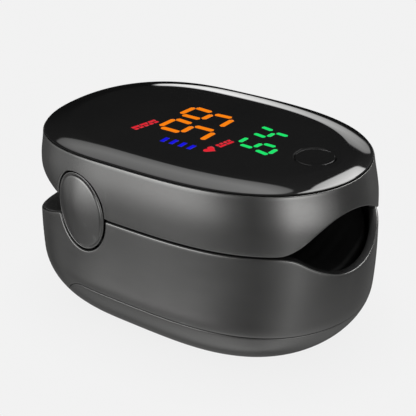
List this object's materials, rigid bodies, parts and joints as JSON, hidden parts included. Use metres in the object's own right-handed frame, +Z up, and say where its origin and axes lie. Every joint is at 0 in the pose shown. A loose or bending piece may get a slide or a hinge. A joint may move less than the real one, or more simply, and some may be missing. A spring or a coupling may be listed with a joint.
{
  "type": "fingertip pulse oximeter",
  "caption": "Clip-on fingertip pulse oximeter: two hinged jaws with soft finger pads, dark display window, press button, side hinge caps and a sliding battery cover.",
  "frame": {"origin": "centre of the flat underside of the closed clip, below the middle of its bounding box", "axes": "+X along the finger, towards the finger opening; +Z up, from the battery cover to the display window; Y across the width"},
  "size_m": [0.062, 0.0386, 0.0333],
  "materials": {
    "shell": "satin dark grey, fine-grained, slightly metallic paint",
    "window": "polished black acrylic",
    "silicone": "matt black silicone",
    "chassis": "moulded, fine texture",
    "board": "solder mask",
    "chip": "moulded epoxy",
    "ferrite": "sintered",
    "sensor_lens": "dark red filter, smooth",
    "emitter_lens": "clear moulded lens",
    "led_body": "moulded",
    "display": "moulded housing with lit segments",
    "socket": "moulded",
    "steel": "nickel plated",
    "spring_wire": "drawn wire",
    "cell_wrap": "shrink sleeve",
    "cable_film": "polyimide film"
  },
  "bodies": {
    "lower_half": {"lower_shell": "shell", "lower_frame": "chassis", "lower_finger_pad": "silicone", "sensor_board": "board", "photodiode": "chip", "detector_window": "sensor_lens", "cell_a": "cell_wrap", "cell_b": "cell_wrap", "contact_bridge": "steel", "contact_plus": "steel", "contact_minus": "steel", "cell_spring_front": "spring_wire", "cell_spring_rear": "spring_wire", "chassis_screw_front_left": "steel", "chassis_screw_front_right": "steel", "chassis_screw_rear_left": "steel", "chassis_screw_rear_right": "steel", "hinge_pin_left": "steel", "hinge_pin_right": "steel", "torsion_spring_left": "spring_wire", "torsion_spring_right": "spring_wire", "hinge_cap_left": "shell", "hinge_cap_right": "shell", "flat_cable": "cable_film"},
    "upper_half": {"upper_shell": "shell", "display_window": "window", "upper_frame": "chassis", "upper_finger_pad": "silicone", "emitter_window": "emitter_lens", "emitter_led": "led_body", "main_board": "board", "led_display_module": "display", "controller_chip": "chip", "power_inductor": "ferrite", "cable_socket": "socket", "tact_switch": "steel", "jaw_screw_front_left": "steel", "jaw_screw_front_right": "steel", "jaw_screw_rear_left": "steel", "jaw_screw_rear_right": "steel"},
    "battery_cover": {"battery_cover": "shell"},
    "power_button": {"power_button": "window"},
    "switch_plunger": {"switch_plunger": "chip"}
  },
  "joints": [
    {"name": "clamp_hinge", "type": "hinge", "parent": "lower_half", "child": "upper_half", "pos_m": [-0.0122, 0, 0.02205], "axis": [0, -1, 0], "range_deg": [0, 25], "deforming": ["torsion_spring_left", "torsion_spring_right", "flat_cable"]},
    {"name": "power_button_press", "type": "slide", "parent": "upper_half", "child": "power_button", "axis": [0, 0, -1], "range_m": [0, 0.0003]},
    {"name": "switch_plunger_travel", "type": "slide", "parent": "upper_half", "child": "switch_plunger", "axis": [0, 0, -1], "range_m": [0, 0.0003]},
    {"name": "battery_cover_slide", "type": "slide", "parent": "lower_half", "child": "battery_cover", "axis": [1, 0, 0], "range_m": [0, 0.045]}
  ],
  "couplings": [
    {"joint": "switch_plunger_travel", "follows": "power_button_press", "ratio": 1}
  ]
}
